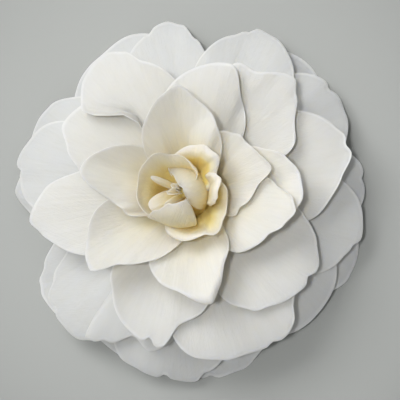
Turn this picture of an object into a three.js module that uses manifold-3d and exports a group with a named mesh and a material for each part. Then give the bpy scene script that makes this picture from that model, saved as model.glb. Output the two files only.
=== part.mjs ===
// A double camellia bloom, as picked: face up, lying on its back on its calyx and its lowest petals.
// Millimetres, +Z up. The origin is the middle of the cut face under the calyx.
//
// Every petal lies on one of a family of nested bowls. A bowl is the surface that a circular arc
// sweeps round the Z axis; its level runs from 0, the flat, drooping bowl of the outermost petals,
// to 1, the nearly upright one at the heart. The sepals have levels below 0. Reach is the distance
// along a bowl from the ring where its arc starts. Where two petals meet, the inner one is lifted
// until it lies on the outer one, as petals do when they unfold.

import * as THREE from 'three';
import { mergeVertices } from 'three/addons/utils/BufferGeometryUtils.js';
import Module from 'manifold-3d';

const wasm = await Module();
wasm.setup();

const { degToRad, clamp, smoothstep, euclideanModulo } = THREE.MathUtils;

// Driving dimensions

const petalThickness = 0.7;
const sepalThickness = 0.8;
const layerDistance = 1.25;    // between the middles of two petals that lie on each other
const whorlDistance = 2.4;     // the same between two petals of different whorls
const neckRadius = 3.2;        // the cut neck under the calyx
const neckSunk = 0.6;          // how far the neck reaches into the calyx
const floorHeight = 0.38;      // lowest place of the middle of a petal
const floorSoftness = 0.3;     // how gently a petal flattens on the surface, in square millimetres

// The nested bowls: where an arc starts, how far it leans from upright, and its bend a millimetre.
const bowls = [
  { level: -0.60, ring: 1.6, rise: 2.8, lean: 78, bend: 1.05 },
  { level: 0.00, ring: 6.5, rise: 7.6, lean: 72, bend: 1.05 },
  { level: 0.20, ring: 6.2, rise: 9.2, lean: 63, bend: 0.95 },
  { level: 0.30, ring: 5.8, rise: 11.0, lean: 58, bend: 1.00 },
  { level: 0.50, ring: 5.4, rise: 13.0, lean: 50, bend: 0.84 },
  { level: 0.58, ring: 5.0, rise: 14.0, lean: 46, bend: 0.54 },
  { level: 0.72, ring: 4.6, rise: 15.0, lean: 38, bend: 0.20 },
  { level: 0.78, ring: 4.2, rise: 16.6, lean: 40, bend: -0.9 },
  { level: 0.86, ring: 3.4, rise: 17.8, lean: 58, bend: -4.6 },
  { level: 1.00, ring: 0.8, rise: 19.5, lean: 30, bend: -2.5 },
];

// Slices of the receptacle, from one level to another. What is left between two slices is the
// narrow cleft that keeps one whorl apart from the next. The petals of a whorl are joined to their
// slice, and to each other, up to its wall, and lie clear of each other from the free reach on.
// The sepals have no free reach that they get to, so they are joined all along.
const slices = {
  calyx: { from: -0.56, to: -0.14, wall: 6.5, free: 60 },
  outer: { from: -0.05, to: 0.238, wall: 12.1, free: 20 },
  middle: { from: 0.262, to: 0.53, wall: 11, free: 20 },
  inner: { from: 0.56, to: 0.735, wall: 9, free: 15 },
  heart: { from: 0.765, to: 0.97, wall: 6.2, free: 11, knob: { radius: 1.6, top: 33 } },
};
const sliceSides = 24;

// The outline of a petal. It is a fan whose point, the claw, lies behind its root. Its places are
// t, from -1 at one side to 1 at the other, and s, from 0 at the root to 1 at the rim.
const outline = {
  claw: 5,             // from the fan's point to the root
  widestAlong: 0.787,  // where a petal is widest, as a share of its length
  widestAcross: 0.67,  // and as a share of t
  bluntness: 2.6,      // high for a broad end, 2 for an oval one
  fullness: 0.55,      // low for full sides
  leastLength: 0.12,   // the share of its length that a petal keeps at its very sides
  leastEdge: 0.1,      // and the share that it keeps whatever its edge
  pointRound: 0.04,    // how round a petal's point is
};

// Near the axis the bowls crowd together, so a petal nearer than this closes up, rises with its cup,
// or is lifted, as if it were this far out.
const leastRadius = 1.5;
const leastCupReach = 8;
const leastLiftReach = 6;

// Where along a petal its lift over other petals begins and is full, as shares of its whorl's wall.
const liftOverWhorls = { begins: 0.6, full: 1 };
const liftOverOwn = { begins: 0.9, full: 1.3 };

// How many steps of its grid, across and along, a lift spreads and is evened out over, twice.
const liftSpread = { across: 7, along: 4 };
const liftEvened = [{ across: 3, along: 2 }, { across: 4, along: 2 }];

// Gentle waves towards the rim, one petal out of step with the next by the golden angle.
const waveAcross = 5.1;
const goldenAngle = Math.PI * (3 - Math.sqrt(5));

// The grid that each petal is worked out on, and the columns and rows that its solid keeps.
const acrossCount = 65;
const alongCount = 31;
const petalColumns = [0, 4, 11, 21, 32, 43, 53, 60, 64];
const petalRows = [0, 6, 12, 18, 24, 30];
const sepalColumns = [0, 12, 32, 52, 64];
const sepalRows = [0, 10, 20, 30];

// The map of the level up to which petals lie: one cell for each step round and each step out.
const roundCells = 720;
const outCells = 130;
const outLimit = 65;
const nothingYet = -9;

// A petal or sepal. turn: degrees round the axis; level: its bowl; long, wide: millimetres. Its
// shape may have a point, the share by which its sides fall away from it, at peak, from -1 to 1
// across; a slant, longer to one side; an edge, how much longer it is at places across; a trim, the
// share of its width that its left side keeps at places along; a cup, the height of its sides; a
// tilt across; and a wave.
function blade(turn, level, long, wide, shape = {}) {
  const plain = { point: 0, peak: 0, slant: 0, edge: [[0, 0]], trim: [[0, 1]], cup: 2, tilt: 0, wave: 0.6 };
  return { turn, level, long, wide, ...plain, ...shape };
}

// A petal of the bud, on an arc of its own, given as a bowl is. wrap: how far round the axis it may
// reach to each side.
function budBlade(turn, arc, long, wide, shape = {}) {
  return { ...blade(turn, 0, long, wide, { wrap: 110, ...shape }), arc };
}

const sepals = Array.from({ length: 9 }, (_, k) =>
  blade(144 * k, -0.49 + 0.03 * k, 9 + 0.35 * k, 11 + 0.2 * k, { cup: 0.5, tilt: 0.4, wave: 0 }));

const outerPetals = [
  blade(123, 0.000, 52, 36, { edge: [[-0.7, 4], [-0.35, 3.6], [0.1, 0.9], [0.5, 0]] }),
  blade(52, 0.005, 52, 36, { edge: [[-0.4, -2], [0, 0.4], [0.4, -1.5]] }),
  blade(212, 0.010, 55, 34, { cup: 1.2, edge: [[-0.5, -7.2], [-0.28, -4], [-0.15, -0.2], [0, 1.5]] }),
  blade(332, 0.015, 50, 34, { edge: [[-0.3, -3], [0, 0.5], [0.3, 1]] }),
  blade(284, 0.020, 53, 34, { edge: [[-0.4, 3.3], [0, -0.3], [0.3, -3.8]] }),
  blade(154, 0.040, 53, 33, { edge: [[-0.5, -3.5], [-0.2, 0], [0, 1.5], [0.3, 2]] }),
  blade(2, 0.045, 49, 34, { edge: [[-0.3, -2], [0, 0], [0.25, 0.8], [0.45, -1]] }),
  blade(177, 0.050, 55, 30, { point: 0.2, edge: [[0, 0.6], [0.3, -1.7]] }),
  blade(241, 0.050, 50, 28, { edge: [[-0.2, 0.8], [0.15, 1.9]] }),
  blade(32, 0.080, 51, 34, { edge: [[-0.4, -2.7], [-0.1, -1], [0.1, 0.3], [0.3, 1.1]] }),
  blade(98, 0.090, 53, 34,
    { edge: [[-0.42, -9.8], [-0.26, -6.5], [-0.1, -1.4], [0.05, 0.8], [0.2, 0], [0.35, -2]] }),
  blade(67, 0.120, 52, 33,
    { cup: 1.2, edge: [[-0.4, -1.1], [-0.1, 0.6], [0.1, 1.5], [0.3, -2.5], [0.6, -3.5]] }),
  blade(317, 0.090, 48, 36, { cup: 1.2, edge: [[-0.3, 1.2], [0.2, 0.5]] }),
  blade(262, 0.100, 53, 36, { edge: [[-0.55, 4], [-0.3, 1.5], [0, 1], [0.25, 2], [0.35, 0]] }),
  blade(168, 0.120, 55, 32, { cup: 1.2, edge: [[-0.3, -1.5], [0, 0.4], [0.2, -1.8]] }),
  blade(220, 0.150, 53, 36,
    { cup: 1.2,
      edge: [[-0.49, -9.6], [-0.31, -4.9], [-0.16, 0.3], [0.05, 1.3], [0.3, 2.5], [0.4, 1.5]] }),
  blade(346, 0.150, 50, 34, { cup: 1.2, edge: [[-0.5, -3], [-0.25, -3.3], [0, -0.3], [0.2, -0.8]] }),
  blade(246, 0.196, 52, 32,
    { cup: 1.2,
      edge: [[-0.56, -18], [-0.49, -2], [-0.45, 4.2], [-0.38, 1.5],
        [-0.22, -3], [0.05, -9], [0.3, -5]] }),
];

const middlePetals = [
  blade(14, 0.32, 48, 40,
    { point: 0.15, slant: 0.05,
      edge: [[-0.6, -0.8], [-0.4, -2.1], [-0.2, -1.3], [0, 0.8],
        [0.1, 1.3], [0.25, -0.3], [0.55, -1.3]] }),
  blade(294, 0.33, 50, 42,
    { edge: [[-0.65, 3.3], [-0.3, 0], [-0.1, -1.1], [0.25, 0], [0.35, -0.5], [0.45, -3.1]] }),
  blade(189, 0.34, 47, 36,
    { point: 0.25, edge: [[-0.55, -4.5], [-0.3, -0.7], [0, 0.8], [0.12, -0.8], [0.3, -1.9]] }),
  blade(325, 0.37, 46, 40,
    { point: 0.05, edge: [[-0.85, 4], [-0.6, 0], [-0.4, -2.6], [0.1, -2.7], [0.3, -5.2], [0.5, -6.4]] }),
  blade(256, 0.40, 45, 36,
    { point: 0.3, edge: [[-0.75, 6], [-0.55, 3.1], [-0.1, 0.7], [0.11, 1.2], [0.25, -3.5], [0.6, 0.5]] }),
  blade(151, 0.38, 42, 34,
    { point: 0.1, slant: -0.05, edge: [[-0.25, -0.2], [0, 0.3], [0.2, -2.7], [0.4, -5.6]] }),
  blade(121, 0.42, 48, 36,
    { point: 0.1, trim: [[26, 0.12], [29, 0.24], [32.5, 0.6], [34.5, 0.85], [37, 1]],
      edge: [[-0.65, -3.9], [-0.3, -4.3], [-0.18, -1], [0, 0.5], [0.3, 0.3], [0.45, -0.5]] }),
  blade(46, 0.43, 46, 36,
    { point: 0.15, slant: 0.05,
      edge: [[-0.65, -2], [-0.3, -5.4], [-0.1, -3], [0.02, -0.3], [0.33, -2.4], [0.6, 3.2]] }),
  blade(80, 0.47, 42, 34,
    { point: 0.25, peak: -0.3,
      edge: [[-0.8, -2.5], [-0.5, -5.4], [-0.22, -0.3], [0.2, -0.6], [0.5, -0.2]] }),
];

const innerPetals = [
  blade(4, 0.585, 40, 34, { edge: [[-0.3, -2.5], [-0.15, -2], [0.06, -3.2], [0.31, -5], [0.5, -7.7]] }),
  blade(344, 0.60, 40, 36,
    { edge: [[-0.64, -7.2], [-0.45, -7.7], [-0.23, -7], [-0.06, -3.3],
        [0.09, -0.7], [0.21, -2.4], [0.36, -7.4], [0.5, -9.5]] }),
  blade(273, 0.62, 38, 31,
    { point: 0.3, peak: 0.25,
      edge: [[-0.6, 2.6], [-0.4, 1.6], [-0.1, -0.8], [0.22, 0.4], [0.35, -2.4], [0.5, -3.7], [0.8, 2]] }),
  blade(228, 0.64, 41, 36,
    { point: 0.35, peak: -0.2,
      edge: [[-0.71, 4], [-0.34, -0.5], [-0.2, -0.2], [-0.12, 1],
        [0.02, -5], [0.27, -6.9], [0.65, -8]] }),
  blade(20, 0.67, 34, 30,
    { point: 0.35, peak: -0.12, slant: 0.12,
      edge: [[-0.88, 4.6], [-0.6, -2.4], [-0.28, -5], [-0.12, -0.5],
        [0.1, -2], [0.29, -2.5], [0.48, 0.7], [0.75, 5]] }),
  blade(169, 0.68, 37, 28,
    { point: 0.35, edge: [[-0.6, 1.6], [-0.3, 0.8], [0, 0.4], [0.39, -4.1], [0.8, 2]] }),
  blade(92, 0.697, 38, 34,
    { point: 0.45, edge: [[-0.5, 1], [-0.2, -1.7], [0, 0.3], [0.3, 0.8], [0.6, 2]] }),
];

const heartPetals = [
  blade(322, 0.779, 25.5, 36,
    { cup: 3, tilt: 1, point: 0.1, peak: -0.12,
      edge: [[-0.7, -1.5], [-0.4, -2], [-0.22, -3.5], [-0.1, 1.5],
        [0.02, -4.5], [0.15, -6.5], [0.3, -5], [0.46, -6]] }),
  blade(70, 0.78, 22, 25, { edge: [[-0.5, -1], [-0.27, 3], [-0.1, 1], [0.1, -2], [0.4, -3]] }),
  blade(142, 0.79, 25, 38,
    { cup: 3.5, tilt: -1.8, point: 0.35, peak: -0.1,
      edge: [[-0.6, 2], [-0.36, 0], [-0.22, -2], [-0.09, 4.4], [0.03, 1], [0.17, 0], [0.45, 5]] }),
  budBlade(6, { ring: 4, rise: 17, lean: 14, bend: 0.2 }, 22.5, 9.5, { cup: -0.5 }),
  budBlade(243, { ring: 3.8, rise: 21.6, lean: 70, bend: -4.9 }, 26, 26,
    { cup: -1, tilt: 3.8, wave: 0.2, wrap: 56,
      edge: [[-0.6, -12], [-0.42, -10], [-0.15, -3], [-0.03, 1], [0.1, 2.4], [0.5, 3.6], [0.9, 10.5]] }),
  budBlade(32, { ring: 3, rise: 17, lean: 44, bend: -4.3 }, 26.1, 32,
    { cup: -1.6, tilt: -2, wave: 0.2, point: 0.1, wrap: 95,
      edge: [[-0.7, 2], [-0.1, -2], [0.2, -3], [0.44, -4], [0.6, -2.5], [0.85, 5.5]] }),
  budBlade(206, { ring: 1, rise: 22, lean: 10, bend: 3 }, 18, 5.5, { cup: -1.5, wave: 0.2 }),
  budBlade(157, { ring: 1, rise: 24, lean: 10, bend: 3 }, 17, 1.9, { cup: -0.5, wave: 0.2 }),
  budBlade(219, { ring: 1, rise: 25, lean: 5, bend: 3 }, 14, 1.6, { cup: -0.5, wave: 0.2 }),
  budBlade(155, { ring: 1, rise: 24, lean: 0, bend: 2 }, 12, 4, { cup: 1, wave: 0.8 }),
  budBlade(125, { ring: 1, rise: 24, lean: 0, bend: 1.5 }, 13, 4, { cup: 1, wave: 0.8 }),
  budBlade(182, { ring: 0.8, rise: 25, lean: 2, bend: 2 }, 13, 3.4, { cup: 1, wave: 0.8 }),
];

// Where a place on an arc is: its distance from the axis and its height.
function alongArc(reach, { ring, rise, lean, bend }) {
  const halfTurn = degToRad(bend) * reach / 2;
  const chord = halfTurn === 0 ? reach : reach * Math.sin(halfTurn) / halfTurn;
  const way = degToRad(lean) + halfTurn;
  return { radius: ring + chord * Math.sin(way), height: rise + chord * Math.cos(way) };
}

// The same on a bowl, whose arc is blended from the two that its level lies between.
function onBowl(reach, level) {
  const q = clamp(level, bowls[0].level, bowls.at(-1).level);
  const k = clamp(bowls.findIndex((bowl) => bowl.level >= q), 1, bowls.length - 1);
  const [low, high] = [bowls[k - 1], bowls[k]];
  const share = (q - low.level) / (high.level - low.level);
  const blend = (name) => low[name] + (high[name] - low[name]) * share;
  const arc = { ring: blend('ring'), rise: blend('rise'), lean: blend('lean'), bend: blend('bend') };
  return alongArc(reach, arc);
}

// How far apart two bowls lie, in millimetres for one whole level.
function bowlDistance(reach, level) {
  const step = 0.01;
  const least = 4;
  const low = onBowl(reach, level - step);
  const high = onBowl(reach, level + step);
  return Math.max(Math.hypot(high.radius - low.radius, high.height - low.height) / (2 * step), least);
}

// Half the angle of a petal's fan, which makes it as wide as it should be.
function fanAngle(petal) {
  const fromPoint = outline.claw + outline.widestAlong * petal.long;
  return Math.asin(petal.wide / 2 / fromPoint) / outline.widestAcross;
}

// A smooth line through a few points, level at each of them.
function through(x, points) {
  return points.slice(1).reduce((sum, [high, after], k) => {
    const [low, before] = points[k];
    return sum + (after - before) * smoothstep(x, low, high);
  }, points[0][1]);
}

// How long a petal is at a place across.
function lengthAt(petal, t) {
  const sides = (1 - Math.min(Math.abs(t), 1) ** outline.bluntness) ** outline.fullness;
  const point = 1 - petal.point * (Math.hypot(t - petal.peak, outline.pointRound) - outline.pointRound);
  const plain = petal.long * Math.max(sides, outline.leastLength) * point * (1 + petal.slant * t);
  return Math.max(plain + through(t, petal.edge), outline.leastEdge * petal.long);
}

// On a bowl, a circle round the axis is shorter than on the flat, so petals close up round it: this
// is the radius on the bowl, against ring plus reach on the flat.
function closedRadius(reach, level) {
  return Math.max(onBowl(reach, level).radius, leastRadius);
}

// A point of a petal before it meets the others: its turn round the axis, its reach, how high it
// lies above its bowl or arc, and its level.
function petalPoint(petal, step, t, s) {
  const theta = t * fanAngle(petal);
  const rho = outline.claw + lengthAt(petal, t) * s;
  const y = rho * Math.cos(theta) - outline.claw;
  const x = rho * Math.sin(theta) * (theta > 0 ? through(y, petal.trim) : 1);
  const ring = petal.arc ? petal.arc.ring : onBowl(0, petal.level).radius;
  const flat = Math.hypot(ring + y, x);
  const reach = flat - ring;
  const radius = petal.arc ? alongArc(reach, petal.arc).radius : onBowl(reach, petal.level).radius;
  const away = Math.atan2(x, ring + y) * flat / Math.max(radius, leastRadius);
  const wrap = degToRad(petal.wrap ?? 0);
  const turn = degToRad(petal.turn) + (wrap === 0 ? away : wrap * Math.tanh(away / wrap));
  const across = x / (petal.wide / 2);
  const wave = petal.wave * s ** 3 * Math.sin(waveAcross * t + goldenAngle * step);
  const tilt = petal.tilt * (petal.arc ? s : 1);
  const above = petal.cup * across ** 2 + tilt * across + wave;
  const spacing = bowlDistance(Math.max(reach, leastCupReach), petal.level);
  return { turn, reach, above, level: petal.level + above / spacing };
}

// Each value becomes what pick makes of the values a few steps round it, first across, then along.
function slide(grid, steps, pick) {
  const window = (size, value) => Array.from({ length: 2 * size + 1 }, (_, k) => value(k - size));
  const across = grid.map((column, i) => column.map((_, j) =>
    pick(window(steps.across, (d) => grid[clamp(i + d, 0, acrossCount - 1)][j]))));
  return across.map((column) => column.map((_, j) =>
    pick(window(steps.along, (d) => column[clamp(j + d, 0, alongCount - 1)]))));
}

// A smooth cover over all values: the largest nearby, then averaged twice over the same stretch.
function coverOver(grid) {
  const largest = (near) => Math.max(...near);
  const average = (near) => near.reduce((sum, value) => sum + value, 0) / near.length;
  return liftEvened.reduce((lifts, steps) => slide(lifts, steps, average), slide(grid, liftSpread, largest));
}

// The highest level in the map round a place.
function levelBelow(map, { turn, reach }) {
  const i = Math.floor(euclideanModulo(turn / (2 * Math.PI), 1) * roundCells) % roundCells;
  const j = Math.floor(clamp(reach / outLimit * (outCells - 1), 0, outCells - 2));
  const [here, next] = [i * outCells + j, (i + 1) % roundCells * outCells + j];
  return Math.max(map[here], map[here + 1], map[next], map[next + 1]);
}

// A value between the points of a petal's grid.
function levelOn(grid, t, s) {
  const column = clamp((t + 1) / 2, 0, 1) * (acrossCount - 1);
  const row = clamp(s, 0, 1) * (alongCount - 1);
  const [c, r] = [Math.min(Math.floor(column), acrossCount - 2), Math.min(Math.floor(row), alongCount - 2)];
  const [u, v] = [column - c, row - r];
  const near = grid[c][r].level * (1 - u) + grid[c + 1][r].level * u;
  const far = grid[c][r + 1].level * (1 - u) + grid[c + 1][r + 1].level * u;
  return near * (1 - v) + far * v;
}

// Lays a finished petal on the map.
function layOnMap(map, petal, grid) {
  const ring = onBowl(0, petal.level).radius;
  const fan = fanAngle(petal);
  for (let j = 0; j < outCells; j++) {
    const reach = j / (outCells - 1) * outLimit;
    const flat = ring + reach;
    const closing = closedRadius(reach, petal.level) / flat;
    for (let i = 0; i < roundCells; i++) {
      const away = euclideanModulo(i / roundCells * 360 - petal.turn + 180, 360) - 180;
      const turn = degToRad(away) * closing;
      const x = flat * Math.sin(turn);
      const y = flat * Math.cos(turn) - ring + outline.claw;
      const t = Math.atan2(x, y) / fan;
      const s = (Math.hypot(x, y) - outline.claw) / lengthAt(petal, t);
      if (Math.abs(turn) > Math.PI / 2 || Math.abs(t) > 1 || s > 1) continue;
      const cell = i * outCells + j;
      map[cell] = Math.max(map[cell], levelOn(grid, t, s));
    }
  }
}

// Works out a whorl, outermost petal first, each lifted clear of those it lies on. The map of the
// whorls below stays as it is until the whorl is done. A petal with an arc of its own isn't lifted.
function unfoldWhorl(petals, first, { wall, free }, below) {
  const own = new Float64Array(roundCells * outCells).fill(nothingYet);
  const whorl = petals.map((petal, k) => {
    const grid = Array.from({ length: acrossCount }, (_, i) =>
      Array.from({ length: alongCount }, (_, j) =>
        petalPoint(petal, first + k, 2 * i / (acrossCount - 1) - 1, j / (alongCount - 1))));
    const each = (value) => grid.map((column, i) => column.map((point, j) => value(point, i, j)));
    if (petal.arc) return each((point) => ({ ...point, arc: petal.arc }));
    const scale = each((point) => bowlDistance(Math.max(point.reach, leastLiftReach), point.level));
    const short = (map, distance) => each((point, i, j) =>
      Math.max(0, (levelBelow(map, point) - point.level) * scale[i][j] + distance));
    const shortOfOwn = short(own, layerDistance);
    const overWhorls = coverOver(short(below, whorlDistance));
    const overOwn = coverOver(each((point, i, j) =>
      shortOfOwn[i][j] * smoothstep(point.reach, wall, free)));
    const risen = ({ reach }, { begins, full }) => smoothstep(reach, begins * wall, full * wall);
    const laid = each((point, i, j) => {
      const lift = Math.max(
        overWhorls[i][j] * risen(point, liftOverWhorls),
        overOwn[i][j] * risen(point, liftOverOwn),
      );
      return { ...point, level: point.level + lift / scale[i][j] };
    });
    layOnMap(own, petal, laid);
    return laid;
  });
  own.forEach((level, cell) => { below[cell] = Math.max(below[cell], level); });
  return whorl;
}

// A point in space. Where a petal would dip below the surface it lies on, it flattens instead.
function inSpace({ turn, reach, above, level, arc }) {
  if (arc) {
    const { radius, height } = alongArc(reach, arc);
    const way = degToRad(arc.lean + arc.bend * reach);
    const out = radius - above * Math.cos(way);
    return new THREE.Vector3(out * Math.cos(turn), out * Math.sin(turn), height + above * Math.sin(way));
  }
  const { radius, height } = onBowl(reach, level);
  const overFloor = height - floorHeight;
  const z = floorHeight + (overFloor + Math.sqrt(overFloor * overFloor + floorSoftness)) / 2;
  return new THREE.Vector3(radius * Math.cos(turn), radius * Math.sin(turn), z);
}

// A closed blade of even thickness, with the same triangles on both faces.
function bladeGeometry(grid, columns, rows, thickness) {
  const place = (i, j) => inSpace(grid[clamp(i, 0, acrossCount - 1)][clamp(j, 0, alongCount - 1)]);
  const [upper, lower] = [[], []];
  for (const i of columns) {
    for (const j of rows) {
      const middle = place(i, j);
      const across = place(i + 1, j).sub(place(i - 1, j));
      const normal = place(i, j + 1).sub(place(i, j - 1)).cross(across).normalize();
      upper.push(middle.clone().addScaledVector(normal, thickness / 2));
      lower.push(middle.clone().addScaledVector(normal, -thickness / 2));
    }
  }
  const [lastColumn, lastRow] = [columns.length - 1, rows.length - 1];
  const below = upper.length;
  const at = (c, r) => c * rows.length + r;
  const index = [];
  for (let c = 0; c < lastColumn; c++) {
    for (let r = 0; r < lastRow; r++) {
      const [p, q, v, w] = [at(c, r), at(c + 1, r), at(c + 1, r + 1), at(c, r + 1)];
      index.push(p, v, q, p, w, v);
      index.push(p + below, q + below, v + below, p + below, v + below, w + below);
    }
  }
  const rim = [
    ...columns.map((_, c) => at(c, 0)),
    ...rows.slice(1).map((_, r) => at(lastColumn, r + 1)),
    ...columns.slice(1).map((_, c) => at(lastColumn - 1 - c, lastRow)),
    ...rows.slice(2).map((_, r) => at(0, lastRow - 1 - r)),
  ];
  rim.forEach((from, k) => {
    const to = rim[(k + 1) % rim.length];
    index.push(from, to, to + below, from, to + below, from + below);
  });
  const geometry = new THREE.BufferGeometry().setFromPoints([...upper, ...lower]);
  geometry.setIndex(index);
  return geometry;
}

// A slice of the receptacle between two bowls, turned round the axis. A knob of unopened petals,
// with a domed top, can stand on its middle.
function sliceGeometry({ from, to, wall, knob }) {
  const [bottom, top] = [onBowl(0, from), onBowl(0, to)];
  const side = [from, (from + to) / 2, to].map((level) => onBowl(wall, level));
  const dome = knob ? [0, 0.35, 0.7, 1].map((way) => ({
    radius: way < 1 ? knob.radius * Math.cos(way * Math.PI / 2) : 0,
    height: knob.top + knob.radius * (Math.sin(way * Math.PI / 2) - 1),
  })) : [{ ...top, radius: 0 }];
  const profile = [{ ...bottom, radius: 0 }, bottom, ...side, top, ...dome];
  const points = profile.map(({ radius, height }) => new THREE.Vector2(radius, height));
  return new THREE.LatheGeometry(points, sliceSides).rotateX(Math.PI / 2);
}

function toSolid(geometry) {
  geometry.deleteAttribute('normal');
  geometry.deleteAttribute('uv');
  const merged = mergeVertices(geometry);
  return new wasm.Manifold(new wasm.Mesh({
    numProp: 3,
    vertProperties: new Float32Array(merged.attributes.position.array),
    triVerts: new Uint32Array(merged.index.array),
  }));
}

// Joins pieces to one solid. A hollow that the joining seals is filled, a loose scrap is dropped.
function fuse(geometries) {
  const joined = geometries.map(toSolid).reduce((sum, solid) => sum.add(solid));
  return joined.decompose().reduce((best, solid) => (solid.volume() > best.volume() ? solid : best));
}

function namedMesh(name, solid, color, roughness) {
  const { vertProperties, triVerts } = solid.getMesh();
  const geometry = new THREE.BufferGeometry();
  geometry.setAttribute('position', new THREE.BufferAttribute(vertProperties, 3));
  geometry.setIndex(new THREE.BufferAttribute(triVerts, 1));
  const mesh = new THREE.Mesh(geometry, new THREE.MeshStandardMaterial({ color, roughness, metalness: 0 }));
  mesh.name = name;
  return mesh;
}

// The whorls, from the calyx inwards. Each is laid on the map of those before it.

const levelMap = new Float64Array(roundCells * outCells).fill(nothingYet);
let unfolded = 0;

function unfold(whorl, slice, columns, rows, thickness) {
  const grids = unfoldWhorl(whorl, unfolded, slice, levelMap);
  unfolded += whorl.length;
  return [sliceGeometry(slice), ...grids.map((grid) => bladeGeometry(grid, columns, rows, thickness))];
}

function makeCalyx() {
  const height = onBowl(0, slices.calyx.from).height + neckSunk;
  const neck = new THREE.CylinderGeometry(neckRadius, neckRadius, height, sliceSides)
    .rotateX(Math.PI / 2)
    .translate(0, 0, height / 2);
  return fuse([neck, ...unfold(sepals, slices.calyx, sepalColumns, sepalRows, sepalThickness)]);
}

function makeWhorl(petals, slice) {
  return fuse(unfold(petals, slice, petalColumns, petalRows, petalThickness));
}

const group = new THREE.Group();
group.add(namedMesh('calyx', makeCalyx(), 0x8f9a56, 0.6));
group.add(namedMesh('outer_petals', makeWhorl(outerPetals, slices.outer), 0xf2f3f0, 0.5));
group.add(namedMesh('middle_petals', makeWhorl(middlePetals, slices.middle), 0xf4f3ec, 0.5));
group.add(namedMesh('inner_petals', makeWhorl(innerPetals, slices.inner), 0xf5f1e2, 0.5));
group.add(namedMesh('heart', makeWhorl(heartPetals, slices.heart), 0xf3e9c9, 0.5));

export default group;
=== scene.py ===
import math
import bmesh
import bpy
import numpy as np
from mathutils import Matrix, Vector


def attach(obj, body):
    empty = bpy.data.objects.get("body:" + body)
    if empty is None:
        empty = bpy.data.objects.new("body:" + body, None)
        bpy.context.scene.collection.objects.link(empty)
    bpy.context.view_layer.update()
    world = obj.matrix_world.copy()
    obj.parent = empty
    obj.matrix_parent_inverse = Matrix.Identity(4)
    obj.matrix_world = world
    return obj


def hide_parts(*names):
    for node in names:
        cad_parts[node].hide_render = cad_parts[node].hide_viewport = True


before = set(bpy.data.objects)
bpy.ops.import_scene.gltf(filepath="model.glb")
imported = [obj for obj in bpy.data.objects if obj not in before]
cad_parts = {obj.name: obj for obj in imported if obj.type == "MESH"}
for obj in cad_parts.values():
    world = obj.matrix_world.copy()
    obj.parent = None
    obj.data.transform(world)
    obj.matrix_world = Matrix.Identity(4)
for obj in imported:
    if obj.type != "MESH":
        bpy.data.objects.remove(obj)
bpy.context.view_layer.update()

mm = 0.001
goldenAngle = math.pi * (3 - math.sqrt(5))   # keeps the waves of one petal out of step with the next

# Every petal lies on one of a family of nested bowls: a circular arc swept round the Z axis. The
# level runs from 0, the flat drooping bowl outside, to 1, the nearly upright one at the heart.
bowls = {
    "level": (-0.60, 0.00, 0.20, 0.30, 0.50, 0.58, 0.72, 0.78, 0.86, 1.00),
    "ring": (1.6, 6.5, 6.2, 5.8, 5.4, 5.0, 4.6, 4.2, 3.4, 0.8),            # radius where the arc starts
    "rise": (2.8, 7.6, 9.2, 11.0, 13.0, 14.0, 15.0, 16.6, 17.8, 19.5),     # and how high
    "lean": (78, 72, 63, 58, 50, 46, 38, 40, 58, 30),                      # degrees from upright there
    "bend": (1.05, 1.05, 0.95, 1.00, 0.84, 0.54, 0.20, -0.9, -4.6, -2.5),  # degrees a millimetre
}

layers = {
    "layerDistance": 1.25,      # millimetres between two petals that lie on each other
    "whorlDistance": 2.4,       # and between a whorl and those below it
    "whorlLift": (0.6, 1.0),    # where a lift sets in and is whole, in radii of the slice's wall
    "ownLift": (0.9, 1.3),
    "coverSteps": ((np.max, 7, 4), (np.mean, 3, 2), (np.mean, 4, 2)),   # grid steps across and along
    "levelStep": 0.01,          # bowls this much above and below give the distance between bowls
    "leastDistance": 4.0,
    "reliefFrom": 8.0,          # that distance is taken at least this far out, for relief
    "liftFrom": 6.0,            # and for a lift
    "leastRadius": 1.5,         # keeps a petal that bends in over the axis from turning without end
    "floorHeight": 0.38,        # lowest place of the middle of a petal
    "floorSoftness": 0.3,
    "roundCells": 720,          # the map of how high petals lie so far
    "outCells": 130,
    "outLimit": 65.0,
    "bare": -9.0,               # the level of a cell that no petal covers
}

outline = {
    "claw": 5.0,                # a petal is a fan whose point lies this far behind its root
    "widestAlong": 0.787,       # where it is widest, as a share of its length and of its half width
    "widestAcross": 0.67,
    "bluntness": 2.6,           # more makes its tip flatter
    "fullness": 0.55,           # less makes its shoulders squarer
    "leastLength": 0.12,        # of its sides, as a share of its length
    "leastWhole": 0.1,          # and of all of it
    "pointRound": 0.04,         # rounds a pointed tip
}

relief = {
    "waves": 5.1,               # radians of wave from the middle of a petal to its side
    "smallWaves": 9.7,
    "smallWaveShare": 0.5,      # of the height of the waves
    "creases": 23.0,
    "creaseGroups": 6.1,
    "creaseShare": 0.3,
    "outOfStep": (2.3, 4.1, 1.7),   # keep small waves, creases and their groups out of step
    "rollBow": 2.4,             # radius of a rolled rim
    "rollTurn": 2.7,            # and the most that it turns, in radians
}

grid = {"across": 65, "along": 31}


# A petal's values: those given, and the usual ones for the rest.
def blade(turn, level, long, wide, **shape):
    usual = {"point": 0.0, "peak": 0.0, "slant": 0.0, "edge": ((0.0, 0.0),), "notch": (),
             "cup": 2.0, "tilt": 0.0, "warm": 0.0, "wave": 0.6, "arc": None, "wrap": 110,
             "roll": (0.0, 0.0, 1.0), "fold": (1, 0.0, 0.0, 1.0), "trim": ((0.0, 1.0),)}
    return {"turn": turn, "level": level, "long": long, "wide": wide, **usual, **shape}


# 3 t^2 - 2 t^3, with t how far x has come from low to high, and level outside them.
def smooth(x, low, high):
    t = np.clip((x - low) / (high - low), 0, 1)
    return t * t * (3 - 2 * t)


# exp(-((x - at) / width)^2): 1 at its place, fading to 0 on both sides.
def bell(x, at, width):
    return np.exp(-((x - at) / width) ** 2)


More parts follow.
